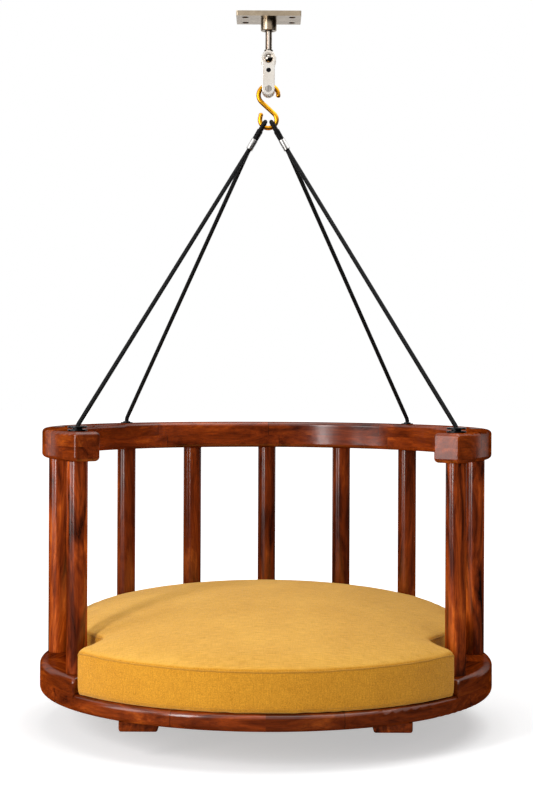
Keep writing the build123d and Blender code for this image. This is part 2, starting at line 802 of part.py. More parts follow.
def turned_post(angle, bore_radius, bore_depth):
    """Round post with a tenon at each end, bored from the top."""
    place = seat_place(angle)
    tenon_top = rim_top + post_length + tenon_up
    with BuildPart() as post:
        with BuildSketch(Plane.XY.offset(rim_top)):
            with Locations(place):
                Circle(post_radius)
        extrude(amount=post_length)
        fillet(post.edges().filter_by(GeomType.CIRCLE), radius=post_edge)
        with BuildSketch(Plane.XY.offset(tenon_top)):
            with Locations(place):
                Circle(tenon_radius)
        extrude(amount=-tenon_up - post_length - tenon_down)
        if bore_radius:
            with BuildSketch(Plane.XY.offset(tenon_top)):
                with Locations(place):
                    Circle(bore_radius)
            extrude(amount=-bore_depth, mode=Mode.SUBTRACT)
    return post.part


for post_name, post_angle in (rope_post_angles | plain_post_angles).items():
    if post_name in rope_post_angles:
        post_solid = turned_post(post_angle, rope_bore_radius, tenon_up + post_length + tenon_down)
    elif post_name.startswith("side"):
        post_solid = turned_post(post_angle, rail_screw_radius, screw_pilot_depth)
    else:
        post_solid = turned_post(post_angle, 0, 0)
    post_solid.label = f"post_{post_name}"
    export_step(post_solid, f"parts/post_{post_name}.step")

# ---------------------------------------------------------------- base
with BuildPart() as base_rim:
    with BuildSketch(Plane.XY.offset(ring_top)):
        add(c_outline(base_radius, base_radius - rim_width, base_edge))
    extrude(amount=rim_thickness)
    top_arcs = base_rim.edges().group_by(Axis.Z)[-1].sort_by(SortBy.LENGTH)[-2:]
    fillet(top_arcs, radius=base_round)
    with BuildSketch(Plane.XY.offset(ring_top)):
        with Locations(post_places):
            Circle(socket_radius)
    extrude(amount=rim_thickness, mode=Mode.SUBTRACT)
base_rim.part.label = "base_rim"
export_step(base_rim.part, "parts/base_rim.step")

batten_ring_y = sqrt((base_radius - ring_width / 2) ** 2 - batten_centre**2)
batten_screw_places = [
    (sign * batten_centre + shift, seat_shift + end * batten_ring_y)
    for sign in (-1, 1)
    for end in (-1, 1)
    for shift in (-batten_screw_spacing / 2, batten_screw_spacing / 2)
]
panel_screw_angles = [(count + 0.5) * 360 / panel_screw_count for count in range(panel_screw_count)]
panel_screw_places = [seat_place(angle, panel_screw_circle) for angle in panel_screw_angles]
sink_depth = (wood_screw_head_radius - wood_screw_radius) / tan(radians(screw_sink_angle / 2))

# The ring's top edge is rounded only across the open front, where no rim covers it.
lip_heading = radians(-90 - opening_angle / 2)
lip_plane = Plane(
    (*seat_centre, 0),
    x_dir=(cos(lip_heading), sin(lip_heading), 0),
    z_dir=(sin(lip_heading), -cos(lip_heading), 0),
)
seat_axis = Axis((*seat_centre, 0), (0, 0, 1))

with BuildPart() as base_ring:
    with BuildSketch(Plane.XY.offset(base_level)):
        with Locations(seat_centre):
            Circle(base_radius)
            Circle(base_radius - ring_width, mode=Mode.SUBTRACT)
    extrude(amount=ring_thickness)
    bottom_circles = base_ring.edges().filter_by(GeomType.CIRCLE).group_by(Axis.Z)[0]
    fillet(bottom_circles.sort_by(SortBy.RADIUS)[-1], radius=base_round)
    with BuildSketch(lip_plane):
        with BuildLine():
            lip_arc = CenterArc((base_radius - lip_round, ring_top - lip_round), lip_round, 0, 90)
            Polyline(lip_arc @ 1, (base_radius, ring_top), lip_arc @ 0)
        make_face()
    revolve(axis=seat_axis, revolution_arc=opening_angle, mode=Mode.SUBTRACT)
    with BuildSketch(Plane.XY.offset(ring_top)):
        with Locations(seat_centre):
            Circle(panel_radius + seat_gap)
    extrude(amount=-panel_thickness, mode=Mode.SUBTRACT)
    with BuildSketch(Plane.XY.offset(ring_top)):
        with Locations(post_places):
            Circle(socket_radius)
    extrude(amount=-tenon_into_ring, mode=Mode.SUBTRACT)
    with BuildSketch(Plane.XY.offset(base_level)):
        with Locations(rope_places):
            Circle(rope_bore_radius)
    extrude(amount=ring_thickness, mode=Mode.SUBTRACT)
    with BuildSketch(Plane.XY.offset(base_level)):
        with Locations(rope_places):
            Circle(knot_recess_radius)
    extrude(amount=knot_recess_depth, mode=Mode.SUBTRACT)
    with BuildSketch(Plane.XY.offset(panel_bottom)):
        with Locations(panel_screw_places):
            Circle(wood_screw_radius)
    extrude(amount=panel_thickness - panel_screw_length, mode=Mode.SUBTRACT)
    with BuildSketch(Plane.XY.offset(base_level)):
        with Locations(batten_screw_places):
            Circle(wood_screw_radius)
    extrude(amount=batten_screw_length - batten_thickness, mode=Mode.SUBTRACT)
base_ring.part.label = "base_ring"
export_step(base_ring.part, "parts/base_ring.step")

with BuildPart() as seat_panel:
    with BuildSketch(Plane.XY.offset(panel_bottom)):
        with Locations(seat_centre):
            Circle(panel_radius)
    extrude(amount=panel_thickness)
    with Locations([(*place, ring_top) for place in panel_screw_places]):
        CounterSinkHole(wood_screw_radius, wood_screw_head_radius, counter_sink_angle=screw_sink_angle)
seat_panel.part.label = "seat_panel"
export_step(seat_panel.part, "parts/seat_panel.step")

with BuildPart() as panel_screws:
    with BuildSketch(Plane.XY.offset(ring_top)):
        with Locations(panel_screw_places):
            Circle(wood_screw_head_radius)
    extrude(amount=-sink_depth, taper=screw_sink_angle / 2)
    with BuildSketch(Plane.XY.offset(ring_top - sink_depth)):
        with Locations(panel_screw_places):
            Circle(wood_screw_radius)
    extrude(amount=sink_depth - panel_screw_length)
panel_screws.part.label = "panel_screws"
export_step(panel_screws.part, "parts/panel_screws.step")

# ---------------------------------------------------------------- battens
batten_bottom = base_level - batten_thickness
batten_reach = sqrt(base_radius**2 - (batten_centre + batten_width / 2) ** 2) - batten_end_inset

for batten_name, sign in (("left", -1), ("right", 1)):
    own_screw_places = [place for place in batten_screw_places if place[0] * sign > 0]
    with BuildPart() as batten:
        with BuildSketch(Plane.XY.offset(batten_bottom)):
            with Locations((sign * batten_centre, seat_shift)):
                Rectangle(batten_width, 2 * batten_reach)
        extrude(amount=batten_thickness)
        lower_ends = batten.edges().filter_by(Axis.X).group_by(Axis.Z)[0]
        fillet(lower_ends, radius=batten_end_round)
        long_edges = batten.edges().filter_by(Axis.Y).group_by(Axis.Z)[0]
        fillet(long_edges, radius=batten_edge)
        with Locations([Plane((*place, batten_bottom), z_dir=(0, 0, -1)) for place in own_screw_places]):
            CounterSinkHole(wood_screw_radius, wood_screw_head_radius, counter_sink_angle=screw_sink_angle)
    batten.part.label = f"batten_{batten_name}"
    export_step(batten.part, f"parts/batten_{batten_name}.step")

with BuildPart() as batten_screws:
    with BuildSketch(Plane.XY.offset(batten_bottom)):
        with Locations(batten_screw_places):
            Circle(wood_screw_head_radius)
    extrude(amount=sink_depth, taper=screw_sink_angle / 2)
    with BuildSketch(Plane.XY.offset(batten_bottom + sink_depth)):
        with Locations(batten_screw_places):
            Circle(wood_screw_radius)
    extrude(amount=batten_screw_length - sink_depth)
batten_screws.part.label = "batten_screws"
export_step(batten_screws.part, "parts/batten_screws.step")

# ---------------------------------------------------------------- cushion
cushion_bottom = ring_top + free_gap
ear_angle = opening_angle / 2 - degrees(cushion_side_gap / cushion_body_radius)

with BuildPart() as cushion:
    with BuildSketch(Plane.XY.offset(cushion_bottom)) as cushion_plan:
        with BuildLine():
            front_arc = CenterArc(seat_centre, cushion_front_radius, -90 - ear_angle, 2 * ear_angle)
            body_arc = CenterArc(seat_centre, cushion_body_radius, ear_angle - 90, 360 - 2 * ear_angle)
            Line(front_arc @ 1, body_arc @ 0)
            Line(body_arc @ 1, front_arc @ 0)
        make_face()
        corners = cushion_plan.vertices().group_by(Axis.Y)
        fillet(corners[0], radius=cushion_ear_round)
        fillet(cushion_plan.vertices().group_by(Axis.Y)[-1], radius=cushion_notch_round)
    extrude(amount=2 * cushion_height)
    with Locations((0, seat_shift + cushion_dome_setback, cushion_bottom + cushion_height - cushion_dome_radius)):
        Sphere(cushion_dome_radius, mode=Mode.INTERSECT)
    fillet(cushion.faces().sort_by(Axis.Z)[-1].outer_wire().edges(), radius=cushion_top_round)
    fillet(cushion.faces().sort_by(Axis.Z)[0].outer_wire().edges(), radius=cushion_bottom_round)
cushion.part.label = "cushion"
export_step(cushion.part, "parts/cushion.step")
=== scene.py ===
import math

import bmesh
import bpy
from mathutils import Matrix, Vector
from mathutils.bvhtree import BVHTree


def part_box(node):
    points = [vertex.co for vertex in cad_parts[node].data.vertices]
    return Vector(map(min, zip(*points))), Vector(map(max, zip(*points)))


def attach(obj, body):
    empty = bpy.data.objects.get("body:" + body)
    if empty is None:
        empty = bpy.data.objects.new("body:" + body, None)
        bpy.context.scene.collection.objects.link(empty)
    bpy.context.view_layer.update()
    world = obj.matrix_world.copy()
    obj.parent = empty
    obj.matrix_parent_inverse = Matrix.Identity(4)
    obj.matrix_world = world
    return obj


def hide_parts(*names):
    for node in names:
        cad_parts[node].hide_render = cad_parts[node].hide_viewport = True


# Jhoola swing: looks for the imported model. Metres, in the CAD's own frame: origin at the
# centre of the ceiling plate's top face, +Z up, -Y towards the open front of the seat.

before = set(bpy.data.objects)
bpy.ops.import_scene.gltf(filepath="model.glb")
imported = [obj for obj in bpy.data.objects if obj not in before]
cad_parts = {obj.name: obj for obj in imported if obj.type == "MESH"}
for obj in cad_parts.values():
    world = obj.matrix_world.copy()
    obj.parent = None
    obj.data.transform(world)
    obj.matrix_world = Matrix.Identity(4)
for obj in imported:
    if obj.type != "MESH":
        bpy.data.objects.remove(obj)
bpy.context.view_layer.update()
bpy.context.scene.view_settings.view_transform = "Standard"

# ------------------------------------------------------------------ places read from the frame
ring_low, ring_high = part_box("base_ring")
front_post_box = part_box("post_front_right")
rear_post_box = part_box("post_back_outer_right")
SEAT_Y = (ring_low.y + ring_high.y) / 2
RIM_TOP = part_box("base_rim")[1].z
RAIL_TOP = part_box("rail_upper")[1].z
CUSHION_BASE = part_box("cushion")[0].z
UP = Vector((0, 0, 1))


# ------------------------------------------------------------------ node helpers
def grey(value):
    return (value, value, value, 1)


class Shader:
    """A material's node tree, built by short calls."""

    def __init__(self, name):
        self.material = bpy.data.materials.new(name)
        self.material.use_nodes = True
        self.tree = self.material.node_tree
        self.tree.nodes.clear()
        self.output = self.node("ShaderNodeOutputMaterial")

    def node(self, kind, inputs=None, **settings):
        made = self.tree.nodes.new(kind)
        for name, value in settings.items():
            setattr(made, name, value)
        for name, value in (inputs or {}).items():
            self.feed(made.inputs[name], value)
        return made

    def feed(self, socket, value):
        if isinstance(value, bpy.types.NodeSocket):
            self.tree.links.new(value, socket)
        else:
            socket.default_value = value

    def place(self):
        return self.node("ShaderNodeTexCoord").outputs["Object"]

    def normal(self):
        return self.split(self.node("ShaderNodeNewGeometry").outputs["Normal"])

    def math(self, operation, first, second=0.0, third=0.0):
        made = self.node("ShaderNodeMath", operation=operation)
        for socket, value in zip(made.inputs, (first, second, third)):
            self.feed(socket, value)
        return made.outputs[0]

    def times(self, first, second):
        return self.math("MULTIPLY", first, second)

    def products(self, first, second, third, fourth):
        """first * second + third * fourth"""
        return self.math("ADD", self.times(first, second), self.times(third, fourth))

    def sway(self, value, middle, amount, base):
        """base, moved by amount for each unit that value lies above its middle"""
        return self.math("MULTIPLY_ADD", self.math("SUBTRACT", value, middle), amount, base)

    def vector(self, operation, first, second=(0, 0, 0)):
        return self.node("ShaderNodeVectorMath", {0: first, 1: second}, operation=operation).outputs

    def split(self, vector):
        return self.node("ShaderNodeSeparateXYZ", {0: vector}).outputs

    def join(self, x, y, z):
        return self.node("ShaderNodeCombineXYZ", {0: x, 1: y, 2: z}).outputs[0]

    def noise(self, vector, scale, detail=3.0, rough=0.5, distortion=0.0):
        inputs = {
            "Vector": vector,
            "Scale": scale,
            "Detail": detail,
            "Roughness": rough,
            "Distortion": distortion,
        }
        return self.node("ShaderNodeTexNoise", inputs).outputs["Fac"]

    def ramp(self, value, *stops):
        made = self.node("ShaderNodeValToRGB", {"Fac": value})
        elements = made.color_ramp.elements
        while len(elements) < len(stops):
            elements.new(0.5)
        for element, (position, colour) in zip(elements, stops):
            element.position = position
            element.color = (*colour, 1)
        return made.outputs["Color"]

    def spread(self, value, low, high, to_low=0.0, to_high=1.0):
        inputs = {
            "Value": value,
            "From Min": low,
            "From Max": high,
            "To Min": to_low,
            "To Max": to_high,
        }
        return self.node("ShaderNodeMapRange", inputs).outputs["Result"]

    def mix(self, factor, first, second, blend="MIX"):
        made = self.node("ShaderNodeMix", data_type="RGBA", blend_type=blend)
        self.feed(made.inputs[0], factor)
        self.feed(made.inputs[6], first)
        self.feed(made.inputs[7], second)
        return made.outputs[2]

    def tinted(self, colour, tint, share=1.0):
        return self.mix(share, colour, tint, "MULTIPLY")

    def bump(self, height, distance, strength=1.0, below=None):
        inputs = {"Height": height, "Distance": distance, "Strength": strength}
        made = self.node("ShaderNodeBump", inputs)
        if below is not None:
            self.feed(made.inputs["Normal"], below)
        return made.outputs["Normal"]

    def surface(self, **inputs):
        named = {name.replace("_", " "): value for name, value in inputs.items()}
        made = self.node("ShaderNodeBsdfPrincipled", named)
        self.tree.links.new(made.outputs["BSDF"], self.output.inputs["Surface"])
        return self.material


# ------------------------------------------------------------------ wood
FIGURE_DARK = (0.010, 0.0020, 0.0008)
FIGURE_BROWN = (0.085, 0.0120, 0.0016)
FIGURE_RED = (0.25, 0.040, 0.0042)
FIGURE_ORANGE = (0.58, 0.125, 0.012)
FIGURE_MIDDLE = 0.53
GRAIN_STRETCH = 0.16
FINE_STRETCH = 0.05
DRIFT_REACH = 0.07
JOINT_COLOUR = (0.006, 0.002, 0.001, 1)
SHIFT_PER_BOARD = 3.71
RING_FIGURED = 0.48
BATTEN_FIGURED = 0.6


def lacquered(shader, along, across, depth, figured, tint=None, joint=None):
    """Figured sheesham under gloss lacquer, from a place along, across and into the grain."""
    board = shader.join(shader.times(along, GRAIN_STRETCH), across, depth)
    drift = shader.noise(board, scale=8.0, detail=2.0)
    aside = shader.join(0.0, shader.times(drift, DRIFT_REACH), 0.0)
    bent = shader.vector("ADD", board, aside)[0]
    figure = shader.noise(bent, scale=32.0, detail=5.0, rough=0.62, distortion=0.8)
    broad = shader.noise(board, scale=6.0, detail=2.0)
    figure = shader.sway(broad, middle=0.5, amount=0.5, base=figure)
    figure = shader.sway(figure, FIGURE_MIDDLE, amount=figured, base=FIGURE_MIDDLE)
    colour = shader.ramp(
        figure,
        (0.35, FIGURE_DARK),
        (0.44, FIGURE_BROWN),
        (0.55, FIGURE_RED),
        (0.67, FIGURE_ORANGE),
    )
    bands = shader.node("ShaderNodeTexWave", {
        "Vector": bent,
        "Scale": 30.0,
        "Distortion": 4.0,
        "Detail": 2.0,
        "Detail Scale": 1.2,
        "Detail Roughness": 0.5,
    }, wave_type="BANDS", bands_direction="Y").outputs["Fac"]
    lines = shader.ramp(bands, (0.02, (0.42, 0.34, 0.30)), (0.30, (1.0, 1.0, 1.0)))
    colour = shader.tinted(colour, lines, share=0.5 * figured)
    fine = shader.join(shader.times(along, FINE_STRETCH), across, depth)
    streaks = shader.noise(fine, scale=300.0, detail=3.0, rough=0.55)
    streak_tint = shader.ramp(streaks, (0.30, (0.55, 0.48, 0.43)), (0.68, (1.3, 1.25, 1.2)))
    colour = shader.tinted(colour, streak_tint, share=0.5)
    pore_noise = shader.noise(fine, scale=900.0, detail=2.0)
    pores = shader.spread(pore_noise, low=0.32, high=0.39, to_low=0.25, to_high=1.0)
    colour = shader.tinted(colour, shader.join(pores, pores, pores), share=0.6)
    if tint is not None:
        colour = shader.tinted(colour, tint)
    if joint is not None:
        colour = shader.mix(joint, colour, JOINT_COLOUR)
    waves = shader.noise(board, scale=60.0, detail=2.0)
    facing = shader.node("ShaderNodeLayerWeight", {"Blend": 0.5}).outputs["Facing"]
    return shader.surface(
        Base_Color=colour,
        Roughness=shader.spread(streaks, low=0.3, high=0.7, to_low=0.34, to_high=0.46),
        Normal=shader.bump(waves, distance=0.0003, strength=0.12),
        Coat_Weight=shader.spread(facing, low=0.35, high=0.85, to_low=1.0, to_high=0.0),
        Coat_Roughness=0.18,
        Coat_IOR=1.5,
        Specular_IOR_Level=0.0,
    )


# tone multiplies the wood: painted light above one, painted shade below one.
def post_wood(name, figured, tone):
    shader = Shader(name)
    x, y, z = shader.split(shader.place())
    return lacquered(shader, z, x, y, figured, grey(tone))


def batten_wood():
    shader = Shader("sheesham_battens")
    x, y, z = shader.split(shader.place())
    return lacquered(shader, y, x, z, BATTEN_FIGURED)


def ring_wood(name, board_degrees, first_joint_degrees, seed, tone=1.0):
    """Curved boards butted end to end round the seat, each cut from a straight plank."""
    board_angle = math.radians(board_degrees)
    first_joint = math.radians(first_joint_degrees)
    shader = Shader(name)
    x, y, z = shader.split(shader.place())
    toward = shader.math("SUBTRACT", y, SEAT_Y)
    angle = shader.math("ARCTAN2", x, toward)
    turns = shader.math("DIVIDE", shader.math("SUBTRACT", angle, first_joint), board_angle)
    number = shader.math("FLOOR", turns)
    part = shader.math("SUBTRACT", turns, number)
    middle = shader.math("ADD", number, 0.5)
    middle = shader.math("MULTIPLY_ADD", middle, board_angle, first_joint)
    sine, cosine = shader.math("SINE", middle), shader.math("COSINE", middle)
    along = shader.math("SUBTRACT", shader.times(x, cosine), shader.times(toward, sine))
    across = shader.products(x, sine, toward, cosine)
    shift = shader.math("MULTIPLY_ADD", number, SHIFT_PER_BOARD, seed)
    picker = shader.node("ShaderNodeTexWhiteNoise", {"W": shift}, noise_dimensions="1D")
    picked = picker.outputs["Value"]
    tint = shader.ramp(picked, (0.0, (0.72, 0.69, 0.66)), (1.0, (1.28, 1.25, 1.22)))
    tint = shader.tinted(tint, grey(tone))
    edge = shader.math("MINIMUM", part, shader.math("SUBTRACT", 1.0, part))
    joint = shader.spread(edge, low=0.0012, high=0.0035, to_low=0.75, to_high=0.0)
    shifted = shader.math("ADD", across, shift)
    return lacquered(shader, along, shifted, z, RING_FIGURED, tint, joint)


# ------------------------------------------------------------------ metals
PLATE_HOLE_X = 0.055
PLATE_HOLE_Y = 0.030
COUNTERSINK_RADIUS = 0.0080
COUNTERSINK_BLUR = 0.0004
# Painted shade colour for the plate's countersinks.
COUNTERSINK_PAINTED_SHADE = (0.11, 0.066, 0.038, 1)
# Number of painted reflection bands round the rod.
REFLECTION_BANDS_ROUND_ROD = 6.0
# The ferrules follow the ropes, which lean 30 degrees from the vertical there.
FERRULE_SINE = 0.5
FERRULE_COSINE = 0.866


def satin_metal(name, low_colour, high_colour, painted_face_shading=1.0, shade_countersinks=False):
    """Brushed plate. The face factor paints its upright faces lighter or darker than its flat ones,
    as painted light and shade by which way a face points; the hole switch paints shade into its
    countersinks.
    """
    shader = Shader(name)
    x, y, z = shader.split(shader.place())
    brushed = shader.join(shader.times(x, 0.03), y, z)
    lines = shader.noise(brushed, scale=1500.0, rough=0.6)
    cloud = shader.noise(shader.place(), scale=34.0)
    colour = shader.ramp(cloud, (0.32, low_colour), (0.68, high_colour))
    # Painted light and shade: upright faces tinted lighter or darker than the flat ones.
    if painted_face_shading != 1.0:
        steepness = shader.math("ABSOLUTE", shader.normal()[2])
        upright = shader.spread(steepness, low=0.3, high=0.6, to_low=1.0, to_high=0.0)
        shaded = shader.tinted(colour, grey(painted_face_shading))
        colour = shader.mix(upright, colour, shaded)
    # Painted shade: the countersinks coloured dark brown, where the holes lie in shade.
    if shade_countersinks:
        beside = shader.math("SUBTRACT", shader.math("ABSOLUTE", x), PLATE_HOLE_X)
        ahead = shader.math("SUBTRACT", shader.math("ABSOLUTE", y), PLATE_HOLE_Y)
        reach = shader.vector("LENGTH", shader.join(beside, ahead, 0.0))["Value"]
        inner = COUNTERSINK_RADIUS - COUNTERSINK_BLUR
        outer = COUNTERSINK_RADIUS + COUNTERSINK_BLUR
        countersink_shade_mask = shader.spread(reach, inner, outer, to_low=1.0, to_high=0.0)
        colour = shader.mix(countersink_shade_mask, colour, COUNTERSINK_PAINTED_SHADE)
    return shader.surface(
        Base_Color=colour,
        Metallic=1.0,
        Roughness=shader.spread(lines, low=0.3, high=0.7, to_low=0.22, to_high=0.38),
        Normal=shader.bump(lines, distance=0.00004, strength=0.5),
    )


def rod_steel():
    """Ground rod with broad darker and lighter bands along its length, painted reflections that
    turn with the rod.
    """
    shader = Shader("rod_steel")
    x, y, z = shader.split(shader.place())
    # Painted reflection: dark and light bands by the angle round the rod.
    angle = shader.math("ARCTAN2", x, shader.times(y, -1.0))
    bands = shader.math("COSINE", shader.times(angle, REFLECTION_BANDS_ROUND_ROD))
    drawn = shader.join(x, y, shader.times(z, 0.03))
    streaks = shader.noise(drawn, scale=600.0, detail=2.0)
    bands = shader.sway(streaks, middle=0.5, amount=1.2, base=bands)
    return shader.surface(
        Base_Color=shader.ramp(
            shader.spread(bands, low=-1.0, high=1.0),
            (0.15, (0.07, 0.045, 0.030)),
            (0.50, (0.42, 0.34, 0.27)),
            (0.90, (0.78, 0.71, 0.64)),
        ),
        Metallic=1.0,
        Roughness=shader.spread(streaks, low=0.3, high=0.7, to_low=0.18, to_high=0.30),
    )


def polished_steel():
    """Turned steel with soft dark streaks along its length, painted reflections."""
    shader = Shader("polished_steel")
    x, y, z = shader.split(shader.place())
    turned = shader.join(x, y, shader.times(z, 8.0))
    rings = shader.noise(turned, scale=300.0, detail=2.0)
    drawn = shader.join(x, y, shader.times(z, 0.06))
    streaks = shader.noise(drawn, scale=150.0, rough=0.6)
    return shader.surface(
        # Painted reflection: dark and bright streaks along the length.
        Base_Color=shader.ramp(streaks, (0.44, (0.14, 0.12, 0.10)), (0.60, (0.80, 0.74, 0.68))),
        Metallic=1.0,
        Roughness=shader.spread(rings, low=0.3, high=0.7, to_low=0.10, to_high=0.20),
        Normal=shader.bump(rings, distance=0.00002, strength=0.3),
    )


def ferrule_steel():
    """Pressed stainless sleeve, with dark streaks along the rope's direction."""
    shader = Shader("ferrule_steel")
    x, y, z = shader.split(shader.place())
    side = shader.math("ABSOLUTE", x)
    along = shader.math(
        "SUBTRACT", shader.times(side, FERRULE_SINE), shader.times(z, FERRULE_COSINE))
    across = shader.products(side, FERRULE_COSINE, z, FERRULE_SINE)
    drawn = shader.join(shader.times(along, 0.08), across, y)
    streaks = shader.noise(drawn, scale=200.0, detail=2.0)
    scuffs = shader.noise(shader.place(), scale=900.0, rough=0.6)
    return shader.surface(
        Base_Color=shader.ramp(streaks, (0.40, (0.26, 0.25, 0.24)), (0.62, (0.80, 0.78, 0.76))),
        Metallic=1.0,
        Roughness=shader.spread(scuffs, low=0.35, high=0.65, to_low=0.32, to_high=0.44),
        Normal=shader.bump(streaks, distance=0.00003, strength=0.4),
    )


def plain_metal(name, colour, smoothest, roughest):
    shader = Shader(name)
    marks = shader.noise(shader.place(), scale=900.0, detail=4.0, rough=0.6)
    return shader.surface(
        Base_Color=colour,
        Metallic=1.0,
        Roughness=shader.spread(marks, low=0.35, high=0.65, to_low=smoothest, to_high=roughest),
        Normal=shader.bump(marks, distance=0.00003, strength=0.4),
    )


def hook_brass():
    shader = Shader("hook_brass")
    cloud = shader.noise(shader.place(), scale=90.0)
    marks = shader.noise(shader.place(), scale=1400.0, rough=0.6)
    return shader.surface(
        Base_Color=shader.ramp(cloud, (0.3, (0.66, 0.27, 0.010)), (0.7, (0.84, 0.40, 0.020))),
        Metallic=1.0,
        Roughness=shader.spread(marks, low=0.3, high=0.7, to_low=0.28, to_high=0.38),
        Normal=shader.bump(marks, distance=0.00001, strength=0.4),
    )


# ------------------------------------------------------------------ plastic, rope and board
ROPE_FOOT_ABOVE_RAIL = 0.012
ROPE_HEAD_X, ROPE_HEAD_Y, ROPE_HEAD_Z = 0.04826, 0.00525, -0.3239
BRAID_STARTS = 6.0
BRAID_LAY = 0.034


def black_plastic():
    shader = Shader("black_plastic")
    grain = shader.noise(shader.place(), scale=1200.0, rough=0.6)
    return shader.surface(
        Base_Color=(0.006, 0.006, 0.006, 1),
        Roughness=shader.spread(grain, low=0.3, high=0.7, to_low=0.38, to_high=0.52),
        Normal=shader.bump(grain, distance=0.00005, strength=0.5),
    )


def rope_leg(shader, place, foot, head):
    """Distance along one straight leg of rope, and angle round it, for a mirrored place."""
    run = (head - foot).normalized()
    sideways = run.cross(UP).normalized()
    upward = run.cross(sideways)
    offset = shader.vector("SUBTRACT", place, tuple(foot))[0]
    along, beside, above = [
        shader.vector("DOT_PRODUCT", offset, tuple(axis))["Value"]
        for axis in (run, sideways, upward)
    ]
    return along, shader.math("ARCTAN2", above, beside)


def braided_rope():
    """Black plaited cord, its strands laid round each of the four straight legs, with painted
    highlights on the strand crowns.
    """
    shader = Shader("braided_rope")
    x, y, z = shader.split(shader.place())
    mirrored = shader.join(shader.math("ABSOLUTE", x), y, z)
    legs = []
    for (low, high), side in ((front_post_box, -1), (rear_post_box, 1)):
        middle = (low + high) / 2
        foot = Vector((middle.x, middle.y, RAIL_TOP + ROPE_FOOT_ABOVE_RAIL))
        head = Vector((ROPE_HEAD_X, side * ROPE_HEAD_Y, ROPE_HEAD_Z))
        legs.append(rope_leg(shader, mirrored, foot, head))
    behind = shader.math("GREATER_THAN", y, 0.0)
    front = shader.math("SUBTRACT", 1.0, behind)
    along, round_rope = [
        shader.products(front, ahead, behind, after) for ahead, after in zip(*legs)
    ]
    turned = shader.times(round_rope, BRAID_STARTS)
    run = shader.times(along, 2 * math.pi * BRAID_STARTS / BRAID_LAY)
    left = shader.math("SINE", shader.math("ADD", turned, run))
    right = shader.math("SINE", shader.math("SUBTRACT", turned, run))
    strands = shader.math("MAXIMUM", left, right)
    fibres = shader.noise(shader.place(), scale=2500.0, detail=2.0)
    height = shader.math("MULTIPLY_ADD", fibres, 0.4, strands)
    # Painted highlight: strand crowns and specks coloured lighter grey.
    painted_highlight_specks = shader.noise(shader.place(), scale=260.0, detail=2.0, rough=0.7)
    tone = shader.sway(painted_highlight_specks, middle=0.5, amount=1.2, base=strands)
    return shader.surface(
        Base_Color=shader.ramp(
            shader.spread(tone, low=-0.2, high=1.15),
            (0.0, (0.0008, 0.0008, 0.0008)),
            (0.78, (0.0035, 0.0035, 0.0038)),
            (1.0, (0.018, 0.018, 0.019)),
        ),
        Roughness=0.5,
        Normal=shader.bump(height, distance=0.0005, strength=0.8),
        Specular_IOR_Level=0.12,
    )


def seat_board():
    shader = Shader("seat_board")
    x, y, z = shader.split(shader.place())
    drawn = shader.join(shader.times(x, 0.08), y, z)
    grain = shader.noise(drawn, scale=120.0, detail=4.0, rough=0.6, distortion=0.5)
    return shader.surface(
        Base_Color=shader.ramp(grain, (0.3, (0.33, 0.19, 0.09)), (0.7, (0.52, 0.34, 0.18))),
        Roughness=0.6,
        Normal=shader.bump(grain, distance=0.0004, strength=0.4),
    )


# ------------------------------------------------------------------ fabric
BORDER_LIGHT = (0.77, 0.360, 0.028)
BORDER_DARK = (0.47, 0.180, 0.008)
# Painted light: the top panel's colours, paler than the border's.
PAINTED_LIT_TOP_PALE = (0.90, 0.500, 0.082)
PAINTED_LIT_TOP_DEEP = (0.66, 0.310, 0.032)
WEAVE_PITCH = 0.0011
WRAP_RADIUS = 0.5
SEAM_PAINTED_SHADE = 0.80


